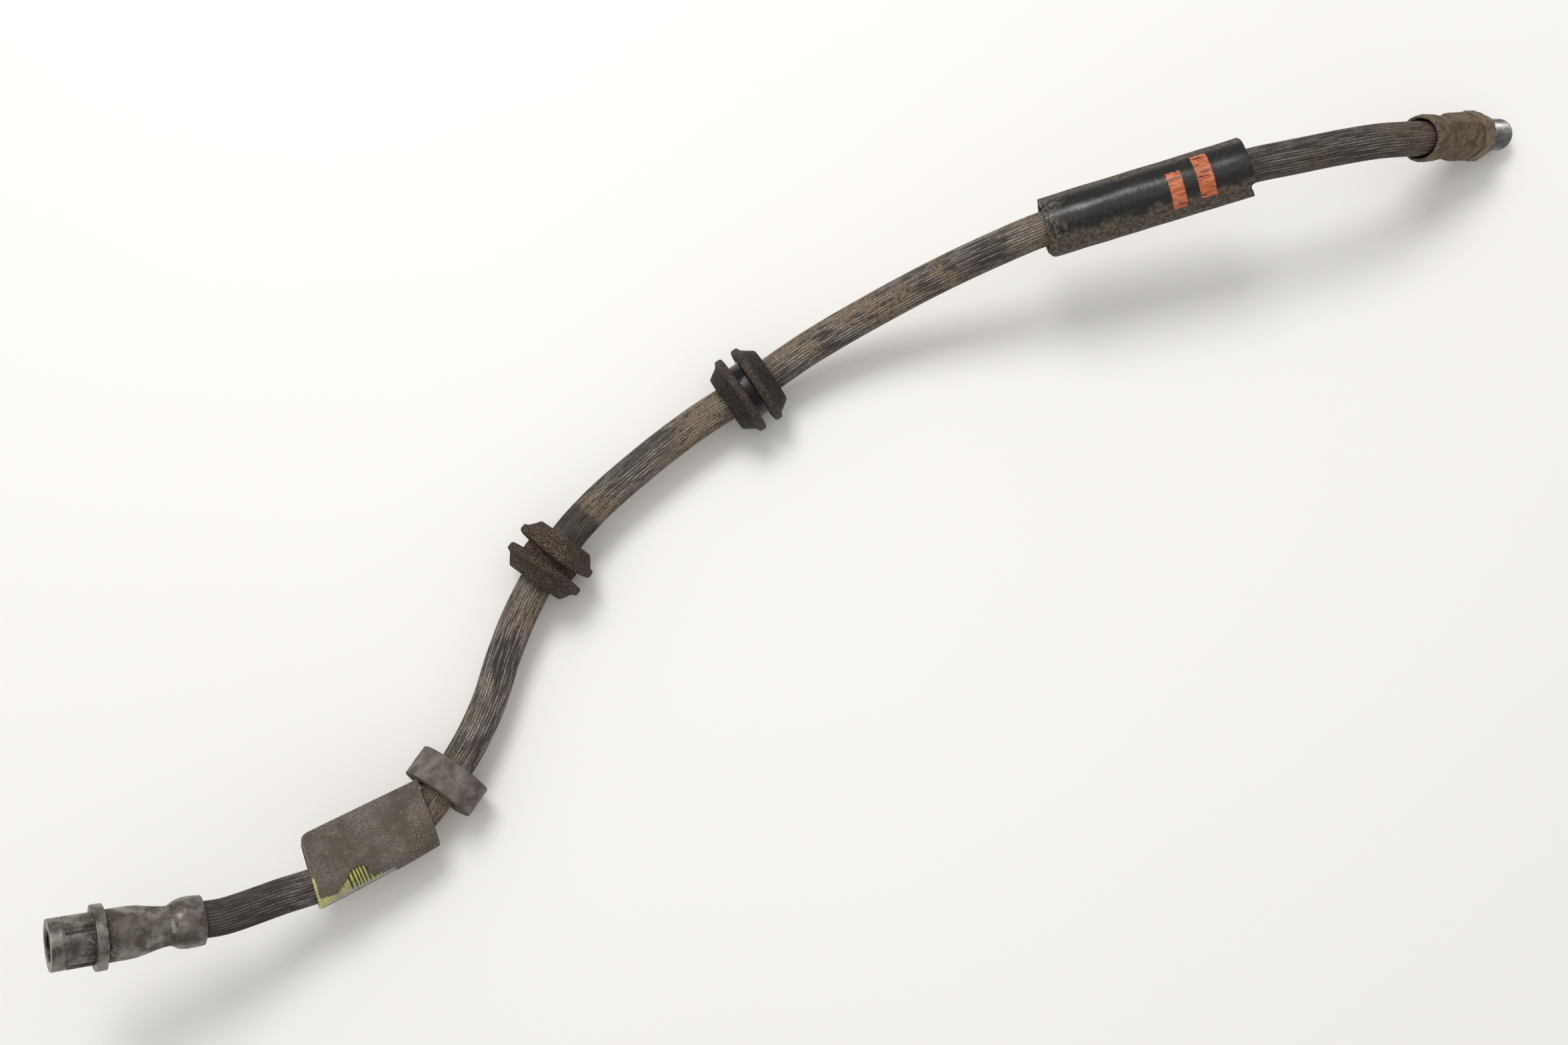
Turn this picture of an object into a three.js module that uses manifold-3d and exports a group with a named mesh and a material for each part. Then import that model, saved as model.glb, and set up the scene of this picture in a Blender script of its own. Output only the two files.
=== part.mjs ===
// Brake hose assembly: a steel-ended rubber hydraulic hose with a female
// socket end, a male screw end, two bracket grommets, a buffer ring, a loose
// abrasion sleeve and a flag label.  Millimetres, +Z up.  The origin is on the
// surface that the hose lies on, under the middle of its outline.
import * as THREE from "three";
import { mergeVertices } from "three/addons/utils/BufferGeometryUtils.js";
import Module from "manifold-3d";

const wasm = await Module();
wasm.setup();

// ---- driving dimensions -------------------------------------------------

const GAP = 0.3; // air between neighbouring solids

// Hose: bore and outer radius of each layer, from the inside out
const LAYERS = [
  { name: "hose_liner", bore: 1.6, radius: 2.2, sides: 8 },
  { name: "hose_inner_braid", bore: 2.5, radius: 2.9, sides: 8 },
  { name: "hose_cushion_layer", bore: 3.2, radius: 3.55, sides: 8 },
  { name: "hose_outer_braid", bore: 3.85, radius: 4.2, sides: 8 },
  { name: "hose_cover", bore: 4.55, radius: 5.25, sides: 12 },
];
const HOSE_RADIUS = 5.25;
const HOSE_BORE = 1.6;
const HOSE_STEPS = 36; // straight pieces along the whole hose
const SQUEEZE = 0.8; // share of the wall's thickness left under the crimps
const SQUEEZE_START = 5; // where the squeeze begins, inside a shell's mouth
const SQUEEZE_END = 11; // where it is complete

// Stem that the hose is pushed over
const STEM_RADIUS = 1.3;
const STEM_BORE = 0.75;
const NECK_RADIUS = 2.7; // part of each body that the shell's end plate holds
const PLATE_HOLE = 3.0; // hole in a shell's end plate

// M10 x 1 thread on both ends
const THREAD = { crest: 5.0, root: 4.45, pitch: 1.0, clearance: 0.1 };

// Female end, measured along its axis from the shell's mouth
const FEMALE = {
  shell: 26.3,
  hoseDepth: 24,
  stemTip: 5,
  collarStart: 26.6,
  collarEnd: 29.6,
  length: 41.2,
  collarRadius: 9.2,
  collarFlats: 16.6,
  socketRadius: 7.3,
  recessRadius: 6.5,
  grooveAt: 37.4,
  seatDepth: 11,
};
const KEY_LANDS = 2; // raised lands left standing in the recess
const KEY_WIDTH = 7.5;
const KEY_ANGLE = THREE.MathUtils.degToRad(152);
const FLAT_ANGLE = THREE.MathUtils.degToRad(35); // which way the collar's flats face
const CRIMP_DENTS = { count: 8, depth: 0.4, start: 8.5, end: 18 };

// Male end, measured along its axis from the shell's mouth
const MALE = {
  shell: 26.3,
  hoseDepth: 24,
  stemTip: 5,
  hexStart: 26.6,
  hexEnd: 32.6,
  hexFlats: 14,
  hexCorner: 7.85,
  shoulderRadius: 5.1,
  threadStart: 33.6,
  threadEnd: 46,
  length: 47.7,
  noseRadius: 4.1,
  drillRadius: 1.5,
};
const CRIMP_FLATS = { count: 6, apothem: 6.4, start: 13, end: 25 };
const HEX_TURN = THREE.MathUtils.degToRad(20); // where the first corner points

// Rubber pieces carried by the hose
const GROMMET = { flange: 12.8, flangeWidth: 3.1, groove: 8.9, grooveWidth: 3.2, shoulder: 11.3 };
const GROMMET_END = { radius: 9.0, length: 3.6 };
const RING = { radius: 11.5, bore: 6.4, width: 9.6, edge: 0.6 };
const SLEEVE = { radius: 9.05, bore: 7.0, length: 63 };
const SLEEVE_CHIP = { size: 6, width: 4, heading: -1.87, lean: 0.5 }; // off the start
const SLEEVE_NICK = { length: 1.2, depth: 2.5, width: 3, heading: -0.6 }; // out of the other end

// Flag label: a printed film folded round the hose and closed on itself, and
// a clear film over it
const FILM = 0.35;
const FILM_GAP = 0.25;
const LABEL = {
  length: 37.6,
  top: 11.2,
  bottom: -10.9,
  loopTop: 1.5,
  halfDepth: 6.35,
  centre: -1.6,
  startSlant: 0.147,
  endSlant: 0.068,
  taper: 0.14, // how much of the drop below the hose is lost towards the end
};
const OVERLAY_INSET = 0.8; // printed film left bare at the label's end
const WORN_WINDOW = { along: -8.5, up: -7.2, radius: 3.5 }; // worn through the clear film
const WORN_EDGE = { along: -6.5, up: -11.2, length: 23, width: 2.6 };

// ---- where everything lies ----------------------------------------------

function direction(heading, climb) {
  const h = THREE.MathUtils.degToRad(heading);
  const c = THREE.MathUtils.degToRad(climb);
  return new THREE.Vector3(Math.cos(c) * Math.cos(h), Math.cos(c) * Math.sin(h), Math.sin(c));
}

// A place on the hose: a point and the way the axis points there
function place(x, y, z, heading, climb) {
  return { point: new THREE.Vector3(x, y, z), axis: direction(heading, climb) };
}

function along(spot, distance) {
  return spot.point.clone().addScaledVector(spot.axis, distance);
}

const FEMALE_MOUTH = place(-178, -117.9, 36.5, 189.3, 29);
const MALE_MOUTH = place(180.9, 115.6, 32.5, 18.3, -36.4);
const SLEEVE_START = place(64.4, 84.9, 38.3, 15.8, 6.5);
const RING_SPOT = place(-114.1, -78.5, 12.4, 57, -11);
const FRONT_GROMMET = place(-84.3, -11.7, 13.1, 55, 2.4);
const REAR_GROMMET = place(-24, 41.5, 13.2, 34, 4.2);
const LABEL_SPOT = { point: new THREE.Vector3(-135.2, -96.5, 19.1), heading: 27.4, climb: -14.1, roll: 11 };

// Straight lengths at the fittings and through the sleeve are worked out; the
// bends between them are chosen by hand.
const ROUTE = [
  along(FEMALE_MOUTH, FEMALE.hoseDepth),
  along(FEMALE_MOUTH, FEMALE.hoseDepth / 2),
  along(FEMALE_MOUTH, 0),
  along(FEMALE_MOUTH, -6),
  new THREE.Vector3(-158.5, -111.8, 26.3),
  new THREE.Vector3(-147.8, -108, 21),
  new THREE.Vector3(-138.8, -102.9, 17.7),
  new THREE.Vector3(-129.8, -96.7, 15.1),
  new THREE.Vector3(-121, -88.5, 13.2),
  RING_SPOT.point,
  new THREE.Vector3(-107.1, -66.2, 11.5),
  new THREE.Vector3(-102.2, -54.7, 11),
  new THREE.Vector3(-98, -40.5, 11),
  new THREE.Vector3(-92.5, -26.5, 11.7),
  FRONT_GROMMET.point,
  new THREE.Vector3(-72.9, 2.8, 13.2),
  new THREE.Vector3(-56.8, 17.8, 12.9),
  new THREE.Vector3(-39.7, 31.3, 12.7),
  REAR_GROMMET.point,
  new THREE.Vector3(-5.5, 54, 15.5),
  new THREE.Vector3(12.5, 63.7, 20.2),
  new THREE.Vector3(33.3, 73.2, 28),
  new THREE.Vector3(51.7, 80.3, 35),
  along(SLEEVE_START, 0),
  along(SLEEVE_START, SLEEVE.length / 3),
  along(SLEEVE_START, (2 * SLEEVE.length) / 3),
  along(SLEEVE_START, SLEEVE.length),
  new THREE.Vector3(139, 104.9, 46),
  new THREE.Vector3(153, 108.2, 44.8),
  new THREE.Vector3(165.3, 111.4, 41.3),
  along(MALE_MOUTH, -6),
  along(MALE_MOUTH, 0),
  along(MALE_MOUTH, MALE.hoseDepth / 2),
  along(MALE_MOUTH, MALE.hoseDepth),
];
const HOSE_CURVE = new THREE.CatmullRomCurve3(ROUTE, false, "centripetal");

// ---- materials ----------------------------------------------------------

function material(color, roughness, metalness) {
  return new THREE.MeshStandardMaterial({ color, roughness, metalness });
}

const WORN_STEEL = material(0x6f6a63, 0.45, 0.9);
const BRIGHT_THREAD = material(0x8b8780, 0.4, 0.9);
const RIBBED_RUBBER = material(0x4a4640, 0.85, 0);
const INNER_RUBBER = material(0x26262a, 0.8, 0);
const BRAID = material(0xb9b29f, 0.9, 0);
const GREY_RUBBER = material(0x77726b, 0.9, 0);
const BROWN_RUBBER = material(0x4b443c, 0.8, 0);
const BLACK_RUBBER = material(0x2b2a2a, 0.4, 0);
const YELLOW_FILM = material(0xd2cf6e, 0.5, 0);
const DIRTY_FILM = material(0x7b756d, 0.7, 0);
const LAYER_MATERIALS = {
  hose_liner: INNER_RUBBER,
  hose_inner_braid: BRAID,
  hose_cushion_layer: INNER_RUBBER,
  hose_outer_braid: BRAID,
  hose_cover: RIBBED_RUBBER,
};

// ---- solids -------------------------------------------------------------

function bare(geometry) {
  geometry.deleteAttribute("normal");
  geometry.deleteAttribute("uv");
  return mergeVertices(geometry, 1e-4);
}

// Signed volume; it is negative when the faces point inwards
function volume(geometry) {
  const p = geometry.attributes.position;
  const index = geometry.index.array;
  const [a, b, c] = [new THREE.Vector3(), new THREE.Vector3(), new THREE.Vector3()];
  let total = 0;
  for (let i = 0; i < index.length; i += 3) {
    a.fromBufferAttribute(p, index[i]);
    b.fromBufferAttribute(p, index[i + 1]);
    c.fromBufferAttribute(p, index[i + 2]);
    total += a.dot(b.cross(c)) / 6;
  }
  return total;
}

function facingOut(geometry) {
  const merged = bare(geometry);
  if (volume(merged) < 0) {
    merged.index.array.reverse();
  }
  return merged;
}

function toSolid(geometry) {
  const merged = facingOut(geometry);
  const vertProperties = new Float32Array(merged.attributes.position.array);
  const triVerts = new Uint32Array(merged.index.array);
  return new wasm.Manifold(new wasm.Mesh({ numProp: 3, vertProperties, triVerts }));
}

function toGeometry(solid) {
  const mesh = solid.getMesh();
  const geometry = new THREE.BufferGeometry();
  geometry.setAttribute("position", new THREE.BufferAttribute(mesh.vertProperties, 3));
  geometry.setIndex(new THREE.BufferAttribute(mesh.triVerts, 1));
  return geometry;
}

// A turned solid about +Z; the profile is a list of [z, radius]
function turned(profile, segments) {
  const points = profile.map(([z, radius]) => new THREE.Vector2(radius, z));
  return bare(new THREE.LatheGeometry(points, segments).rotateX(Math.PI / 2));
}

// A turned solid with a hole: outer profile out, inner profile back
function hollowTurned(outer, inner, segments) {
  return turned([...outer, ...inner.reverse(), outer[0]], segments);
}

// Moves each vertex of a solid about +Z to radiusAt(radius, angle, z)
function reshape(geometry, radiusAt) {
  const p = geometry.attributes.position;
  for (let i = 0; i < p.count; i += 1) {
    const radius = Math.hypot(p.getX(i), p.getY(i));
    if (radius > 1e-6) {
      const angle = Math.atan2(p.getY(i), p.getX(i));
      const scale = radiusAt(radius, angle, p.getZ(i)) / radius;
      p.setXY(i, p.getX(i) * scale, p.getY(i) * scale);
    }
  }
  return geometry;
}

// A flat outline pushed up from z = start to z = end
function prism(shape, start, end) {
  const options = { depth: end - start, bevelEnabled: false, curveSegments: 12 };
  return new THREE.ExtrudeGeometry(shape, options).translate(0, 0, start);
}

function box(size, centre) {
  return new THREE.BoxGeometry(size[0], size[1], size[2]).translate(centre[0], centre[1], centre[2]);
}

function polygon(radius, sides) {
  const points = [];
  for (let i = 0; i < sides; i += 1) {
    const angle = (i / sides) * 2 * Math.PI;
    points.push(new THREE.Vector2(radius * Math.cos(angle), radius * Math.sin(angle)));
  }
  return points;
}

// ---- hose ---------------------------------------------------------------

// Presses the hose wall towards its bore inside a shell
function squeezeInto(geometry, mouth) {
  const p = geometry.attributes.position;
  const point = new THREE.Vector3();
  for (let i = 0; i < p.count; i += 1) {
    point.fromBufferAttribute(p, i);
    const depth = point.clone().sub(mouth.point).dot(mouth.axis);
    const onAxis = along(mouth, depth);
    const radius = point.distanceTo(onAxis);
    if (depth > SQUEEZE_START && radius < 2 * HOSE_RADIUS) {
      const share = THREE.MathUtils.smoothstep(depth, SQUEEZE_START, SQUEEZE_END);
      const wall = THREE.MathUtils.lerp(1, SQUEEZE, share);
      const pressed = HOSE_BORE + (radius - HOSE_BORE) * wall;
      point.sub(onAxis).setLength(pressed).add(onAxis);
      p.setXYZ(i, point.x, point.y, point.z);
    }
  }
  return geometry;
}

function hoseTube(radius, bore, sides) {
  const section = new THREE.Shape(polygon(radius, sides));
  section.holes.push(new THREE.Path(polygon(bore, sides)));
  const options = { steps: HOSE_STEPS, extrudePath: HOSE_CURVE, bevelEnabled: false };
  const tube = bare(new THREE.ExtrudeGeometry(section, options));
  squeezeInto(tube, FEMALE_MOUTH);
  return squeezeInto(tube, MALE_MOUTH);
}

// The room a fixed rubber piece leaves for the hose that runs through it
function hoseRoom() {
  const section = new THREE.Shape(polygon(HOSE_RADIUS + GAP, 12));
  const options = { steps: HOSE_STEPS, extrudePath: HOSE_CURVE, bevelEnabled: false };
  return toSolid(new THREE.ExtrudeGeometry(section, options));
}

// ---- thread -------------------------------------------------------------

// A rod with one helical thread that fades out over a pitch at both ends
function threadedRod(start, end, crest, root, segments) {
  const { pitch } = THREAD;
  const rings = Math.round(((end - start) / pitch) * 3);
  const profile = [[start, 0]];
  for (let i = 0; i <= rings; i += 1) {
    profile.push([start + ((end - start) * i) / rings, crest]);
  }
  profile.push([end, 0]);
  const rod = turned(profile, segments);
  return reshape(rod, (radius, angle, z) => {
    const phase = z / pitch - angle / (2 * Math.PI);
    const tooth = Math.abs(2 * (phase - Math.floor(phase)) - 1);
    const fade = THREE.MathUtils.clamp(Math.min(z - start, end - z) / pitch, 0, 1);
    return radius - (crest - root) * (1 - tooth) * fade;
  });
}

// ---- female end ---------------------------------------------------------

function collarShape() {
  const half = FEMALE.collarFlats / 2;
  const turn = Math.acos(half / FEMALE.collarRadius);
  const shape = new THREE.Shape();
  shape.absarc(0, 0, FEMALE.collarRadius, turn, Math.PI - turn, false);
  shape.absarc(0, 0, FEMALE.collarRadius, Math.PI + turn, 2 * Math.PI - turn, false);
  shape.closePath();
  return shape;
}

// Takes the socket down to its recess, leaving key lands standing
function recessAround(body) {
  const { collarEnd, grooveAt, socketRadius, recessRadius } = FEMALE;
  const outer = socketRadius + 1;
  const ring = [[collarEnd, outer], [grooveAt, outer]];
  const cutter = toSolid(hollowTurned(ring, [[collarEnd, recessRadius], [grooveAt, recessRadius]], 48));
  let cut = cutter;
  for (let i = 0; i < KEY_LANDS; i += 1) {
    const land = box([2 * outer, KEY_WIDTH, grooveAt - collarEnd + 1], [outer, 0, (collarEnd + grooveAt) / 2]);
    land.rotateZ(KEY_ANGLE + (i / KEY_LANDS) * 2 * Math.PI);
    cut = cut.subtract(toSolid(land));
  }
  return body.subtract(cut);
}

function femaleBody() {
  const f = FEMALE;
  const socket = [
    [f.stemTip, STEM_BORE],
    [f.stemTip, STEM_RADIUS - 0.2],
    [f.stemTip + 1, STEM_RADIUS],
    [f.hoseDepth + GAP, STEM_RADIUS],
    [f.hoseDepth + GAP, NECK_RADIUS],
    [f.collarStart, NECK_RADIUS],
    [f.collarStart, f.socketRadius - 0.4],
    [f.grooveAt, f.socketRadius],
    [f.grooveAt, f.socketRadius - 0.25],
    [f.grooveAt + 0.3, f.socketRadius - 0.25],
    [f.grooveAt + 0.3, f.socketRadius],
    [f.length - 0.4, f.socketRadius],
    [f.length, f.socketRadius - 0.4],
  ];
  const seat = f.length - f.seatDepth;
  const bore = [
    [f.stemTip, STEM_BORE],
    [seat - 1.4, STEM_BORE],
    [seat - 1.4, 1.6],
    [seat, THREAD.root - 0.3],
    [f.length, THREAD.root - 0.3],
  ];
  let body = toSolid(hollowTurned(socket, bore.slice(1), 32));
  const collar = toSolid(prism(collarShape(), f.collarStart, f.collarEnd).rotateZ(FLAT_ANGLE));
  const core = toSolid(turned([[0, 0], [0, 5.5], [f.length, 5.5], [f.length, 0]], 32));
  body = body.add(collar.subtract(core));
  body = recessAround(body);
  const loose = THREAD.clearance;
  const tap = threadedRod(seat + 0.3, f.length + 1, THREAD.crest + loose, THREAD.root + loose, 16);
  return toGeometry(body.subtract(toSolid(tap)));
}

// Longitudinal crimp dents round the waist of the female shell
function crimpDents(radius, angle, z) {
  const { count, depth, start, end } = CRIMP_DENTS;
  const share = THREE.MathUtils.clamp((z - start) / (end - start), 0, 1);
  const hollow = 0.5 + 0.5 * Math.cos(count * angle);
  const isOutside = radius > HOSE_RADIUS;
  return isOutside ? radius - depth * Math.sin(Math.PI * share) * hollow : radius;
}

function femaleShell() {
  const plate = FEMALE.hoseDepth + 0.6;
  const outer = [
    [0, 6.6],
    [0.3, 7.05],
    [4.5, 7.1],
    [6.6, 6.75],
    [8.4, 6.1],
    [10.2, 5.8],
    [12.2, 5.95],
    [15, 6.55],
    [18, 7],
    [21, 7.25],
    [FEMALE.shell - 0.4, 7.4],
    [FEMALE.shell, 7.1],
  ];
  const inner = [
    [0, 5.75],
    [6, 5.7],
    [10, 4.95],
    [plate, 4.95],
    [plate, PLATE_HOLE],
    [FEMALE.shell, PLATE_HOLE],
  ];
  return reshape(hollowTurned(outer, inner, 32), crimpDents);
}

// ---- male end -----------------------------------------------------------

function hexagon(flats) {
  return new THREE.Shape(polygon(flats / Math.sqrt(3), 6));
}

function maleBody() {
  const m = MALE;
  const stem = [
    [m.stemTip, 0],
    [m.stemTip, STEM_RADIUS - 0.2],
    [m.stemTip + 1, STEM_RADIUS],
    [m.hoseDepth + GAP, STEM_RADIUS],
    [m.hoseDepth + GAP, NECK_RADIUS],
    [m.hexStart + 1, NECK_RADIUS],
    [m.hexStart + 1, 0],
  ];
  const blank = [
    [m.hexStart, 0],
    [m.hexStart, m.hexFlats / 2 - 0.2],
    [m.hexStart + 0.7, m.hexCorner],
    [m.hexEnd - 0.7, m.hexCorner],
    [m.hexEnd, m.hexFlats / 2 - 0.1],
    [m.hexEnd, 0],
  ];
  const nose = [
    [m.hexEnd - 1, 0],
    [m.hexEnd - 1, m.shoulderRadius],
    [m.threadStart - 0.3, m.shoulderRadius],
    [m.threadStart, THREAD.root],
    [m.threadEnd + 0.2, THREAD.root],
    [m.length, m.noseRadius],
    [m.length, 0],
  ];
  const passage = [
    [m.stemTip - 1, 0],
    [m.stemTip - 1, STEM_BORE],
    [m.threadStart, STEM_BORE],
    [m.threadStart, m.drillRadius],
    [m.length + 1, m.drillRadius],
    [m.length + 1, 0],
  ];
  const hex = toSolid(prism(hexagon(m.hexFlats), m.hexStart, m.hexEnd).rotateZ(HEX_TURN));
  let body = hex.intersect(toSolid(turned(blank, 36)));
  body = body.add(toSolid(turned(nose, 24)));
  body = body.add(toSolid(threadedRod(m.threadStart, m.threadEnd, THREAD.crest, THREAD.root, 24)));
  body = body.add(toSolid(turned(stem, 24)));
  return toGeometry(body.subtract(toSolid(turned(passage, 16))));
}

// Flats pressed into the male shell behind its bell, in line with the hexagon
function crimpFlats(radius, angle, z) {
  const { count, apothem, start, end } = CRIMP_FLATS;
  const sector = (2 * Math.PI) / count;
  const fromFirst = angle - HEX_TURN - sector / 2;
  const fromFlat = fromFirst - sector * Math.round(fromFirst / sector);
  const isPressed = z > start && z < end && radius > HOSE_RADIUS;
  return isPressed ? Math.min(radius, apothem / Math.cos(fromFlat)) : radius;
}

function maleShell() {
  const plate = MALE.hoseDepth + 0.6;
  const outer = [
    [0, 6.45],
    [0.5, 7.05],
    [2.6, 7.2],
    [6, 7.1],
    [9, 6.7],
    [11.4, 6.45],
    [13.2, 6.9],
    [16, 7.15],
    [19, 7.15],
    [22, 7.15],
    [MALE.shell - 0.6, 7.15],
    [MALE.shell, 6.7],
  ];
  const inner = [
    [0, 6.05],
    [6, 5.95],
    [10.5, 5.15],
    [plate, 5.15],
    [plate, PLATE_HOLE],
    [MALE.shell, PLATE_HOLE],
  ];
  return reshape(hollowTurned(outer, inner, 36), crimpFlats);
}

// ---- rubber pieces ------------------------------------------------------

function grommet(spot, room) {
  const g = GROMMET;
  const rim = g.grooveWidth / 2 + g.flangeWidth;
  const side = [
    [-rim - GROMMET_END.length, GROMMET_END.radius],
    [-rim, g.shoulder],
    [-rim + 0.4, g.flange - 0.3],
    [-rim + 0.9, g.flange],
    [-g.grooveWidth / 2 - 0.5, g.flange],
    [-g.grooveWidth / 2, g.flange - 0.6],
    [-g.grooveWidth / 2, g.groove],
  ];
  const otherSide = side.map(([z, radius]) => [-z, radius]).reverse();
  const half = rim + GROMMET_END.length;
  const profile = [[-half, 0], ...side, ...otherSide, [half, 0]];
  const blank = turned(profile, 28);
  blank.applyQuaternion(axisTurn(spot));
  blank.translate(spot.point.x, spot.point.y, spot.point.z);
  const cut = toGeometry(toSolid(blank).subtract(room));
  cut.translate(-spot.point.x, -spot.point.y, -spot.point.z);
  return cut.applyQuaternion(axisTurn(spot).invert());
}

function bufferRing() {
  const { radius, bore, width, edge } = RING;
  const half = width / 2;
  const outer = [
    [-half, radius - edge],
    [-half + edge, radius],
    [half - edge, radius],
    [half, radius - edge],
  ];
  const inner = [
    [-half, bore],
    [half, bore],
  ];
  return hollowTurned(outer, inner, 32);
}

// The sleeve's ends are roughly cut: a chipped corner and a torn nick
function abrasionSleeve() {
  const { radius, bore, length } = SLEEVE;
  const tube = toSolid(hollowTurned([[0, radius], [length, radius]], [[0, bore], [length, bore]], 32));
  const cornerCut = [SLEEVE_CHIP.size, 2 * radius, SLEEVE_CHIP.width];
  const chip = box(cornerCut, [radius, 0, 0]).rotateZ(SLEEVE_CHIP.heading).rotateX(SLEEVE_CHIP.lean);
  const notch = [2 * SLEEVE_NICK.depth, SLEEVE_NICK.width, 2 * SLEEVE_NICK.length];
  const nick = box(notch, [radius, 0, length]).rotateZ(SLEEVE_NICK.heading);
  return toGeometry(tube.subtract(toSolid(chip)).subtract(toSolid(nick)));
}

// ---- label --------------------------------------------------------------

// Outline of the closed film with `grow` added all round: a loop for the hose
// with a flag standing up from its front.  The first coordinate runs up the
// flag and the second towards the front.
function filmOutline(grow, top) {
  const { loopTop, bottom, halfDepth, centre } = LABEL;
  const radius = halfDepth + grow;
  const front = centre + halfDepth + grow;
  const back = centre + halfDepth - grow;
  const bottomCentre = bottom + halfDepth;
  const shape = new THREE.Shape();
  shape.moveTo(top, front);
  shape.lineTo(bottomCentre, front);
  shape.absarc(bottomCentre, centre, radius, Math.PI / 2, (3 * Math.PI) / 2, false);
  shape.absarc(loopTop, centre, radius, -Math.PI / 2, Math.asin((back - centre) / radius), false);
  shape.lineTo(top, back);
  shape.closePath();
  return shape;
}

// The room inside the film's loop
function loopHole() {
  const { loopTop, bottom, halfDepth, centre } = LABEL;
  const hole = new THREE.Path();
  hole.absarc(bottom + halfDepth, centre, halfDepth, Math.PI / 2, (3 * Math.PI) / 2, false);
  hole.absarc(loopTop, centre, halfDepth, -Math.PI / 2, Math.PI / 2, false);
  hole.closePath();
  return hole;
}

// Turns a prism made along +Z so that it runs along +X, with its outline's
// first axis up the flag (+Y) and its second to the front (+Z)
function layAlongX(geometry) {
  const across = new THREE.Matrix4().makeBasis(
    new THREE.Vector3(0, 1, 0),
    new THREE.Vector3(0, 0, 1),
    new THREE.Vector3(1, 0, 0),
  );
  return geometry.applyMatrix4(across);
}

// The label's two ends are cut on the slant, the start more than the finish,
// and its fold below the hose rises towards the finish
function slantEnds(geometry) {
  const p = geometry.attributes.position;
  for (let i = 0; i < p.count; i += 1) {
    const share = p.getX(i) / LABEL.length + 0.5;
    const lean = THREE.MathUtils.lerp(LABEL.startSlant, LABEL.endSlant, share);
    const up = p.getY(i) < 0 ? p.getY(i) * (1 - LABEL.taper * share * share) : p.getY(i);
    p.setXY(i, p.getX(i) + lean * up, up);
  }
  return geometry;
}

function printedFilm() {
  const section = filmOutline(FILM, LABEL.top);
  section.holes.push(loopHole());
  const film = layAlongX(prism(section, -LABEL.length / 2, LABEL.length / 2));
  return slantEnds(bare(film));
}

// The clear film is worn through in two places low on the front
function clearFilm() {
  const half = LABEL.length / 2;
  const outside = prism(filmOutline(2 * FILM + FILM_GAP, LABEL.top), OVERLAY_INSET - half, half);
  const inside = prism(filmOutline(FILM + FILM_GAP, LABEL.top + 1), -half - 1, half + 1);
  const film = toSolid(layAlongX(outside)).subtract(toSolid(layAlongX(inside)));
  const { halfDepth, centre } = LABEL;
  const window = new THREE.Shape().absarc(0, 0, WORN_WINDOW.radius, 0, 2 * Math.PI, false);
  const rubbedThrough = prism(window, 0, halfDepth).translate(WORN_WINDOW.along, WORN_WINDOW.up, 0);
  const edgeCentre = [WORN_EDGE.along, WORN_EDGE.up, centre + halfDepth / 2];
  const rubbedEdge = box([WORN_EDGE.length, WORN_EDGE.width, halfDepth], edgeCentre);
  const worn = film.subtract(toSolid(rubbedThrough)).subtract(toSolid(rubbedEdge));
  return slantEnds(toGeometry(worn));
}

// ---- assembly -----------------------------------------------------------

// Turns +Z to the way the axis points, with +X level
function axisTurn(spot) {
  const level = new THREE.Vector3(0, 0, 1).cross(spot.axis).normalize();
  const upper = spot.axis.clone().cross(level);
  const basis = new THREE.Matrix4().makeBasis(level, upper, spot.axis);
  return new THREE.Quaternion().setFromRotationMatrix(basis);
}

function named(name, geometry, look) {
  const mesh = new THREE.Mesh(geometry, look);
  mesh.name = name;
  return mesh;
}

function groupAt(spot, meshes) {
  const group = new THREE.Group();
  group.position.copy(spot.point);
  group.quaternion.copy(axisTurn(spot));
  group.add(...meshes);
  return group;
}

function hoseMeshes() {
  return LAYERS.map(({ name, radius, bore, sides }) => (
    named(name, hoseTube(radius, bore, sides), LAYER_MATERIALS[name])
  ));
}

function labelGroup() {
  const group = new THREE.Group();
  const { point, heading, climb, roll } = LABEL_SPOT;
  const turn = [roll, -climb, heading].map(THREE.MathUtils.degToRad);
  group.position.copy(point);
  group.rotation.set(turn[0], turn[1], turn[2], "ZYX");
  group.add(named("label_printed_film", printedFilm(), YELLOW_FILM));
  group.add(named("label_clear_film", clearFilm(), DIRTY_FILM));
  return group;
}

function assembly() {
  const hose = new THREE.Group();
  const room = hoseRoom();
  hose.add(...hoseMeshes());
  hose.add(groupAt(FEMALE_MOUTH, [
    named("female_socket_body", femaleBody(), WORN_STEEL),
    named("female_crimp_shell", femaleShell(), WORN_STEEL),
  ]));
  hose.add(groupAt(MALE_MOUTH, [
    named("male_screw_body", maleBody(), BRIGHT_THREAD),
    named("male_crimp_shell", maleShell(), WORN_STEEL),
  ]));
  hose.add(groupAt(FRONT_GROMMET, [named("front_grommet", grommet(FRONT_GROMMET, room), BROWN_RUBBER)]));
  hose.add(groupAt(REAR_GROMMET, [named("rear_grommet", grommet(REAR_GROMMET, room), BROWN_RUBBER)]));
  hose.add(groupAt(RING_SPOT, [named("buffer_ring", bufferRing(), GREY_RUBBER)]));
  hose.add(groupAt(SLEEVE_START, [named("abrasion_sleeve", abrasionSleeve(), BLACK_RUBBER)]));
  hose.add(labelGroup());
  return hose;
}

export default assembly();
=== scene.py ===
import math
from collections import namedtuple

import bpy
from mathutils import Matrix, Vector, noise


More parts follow.
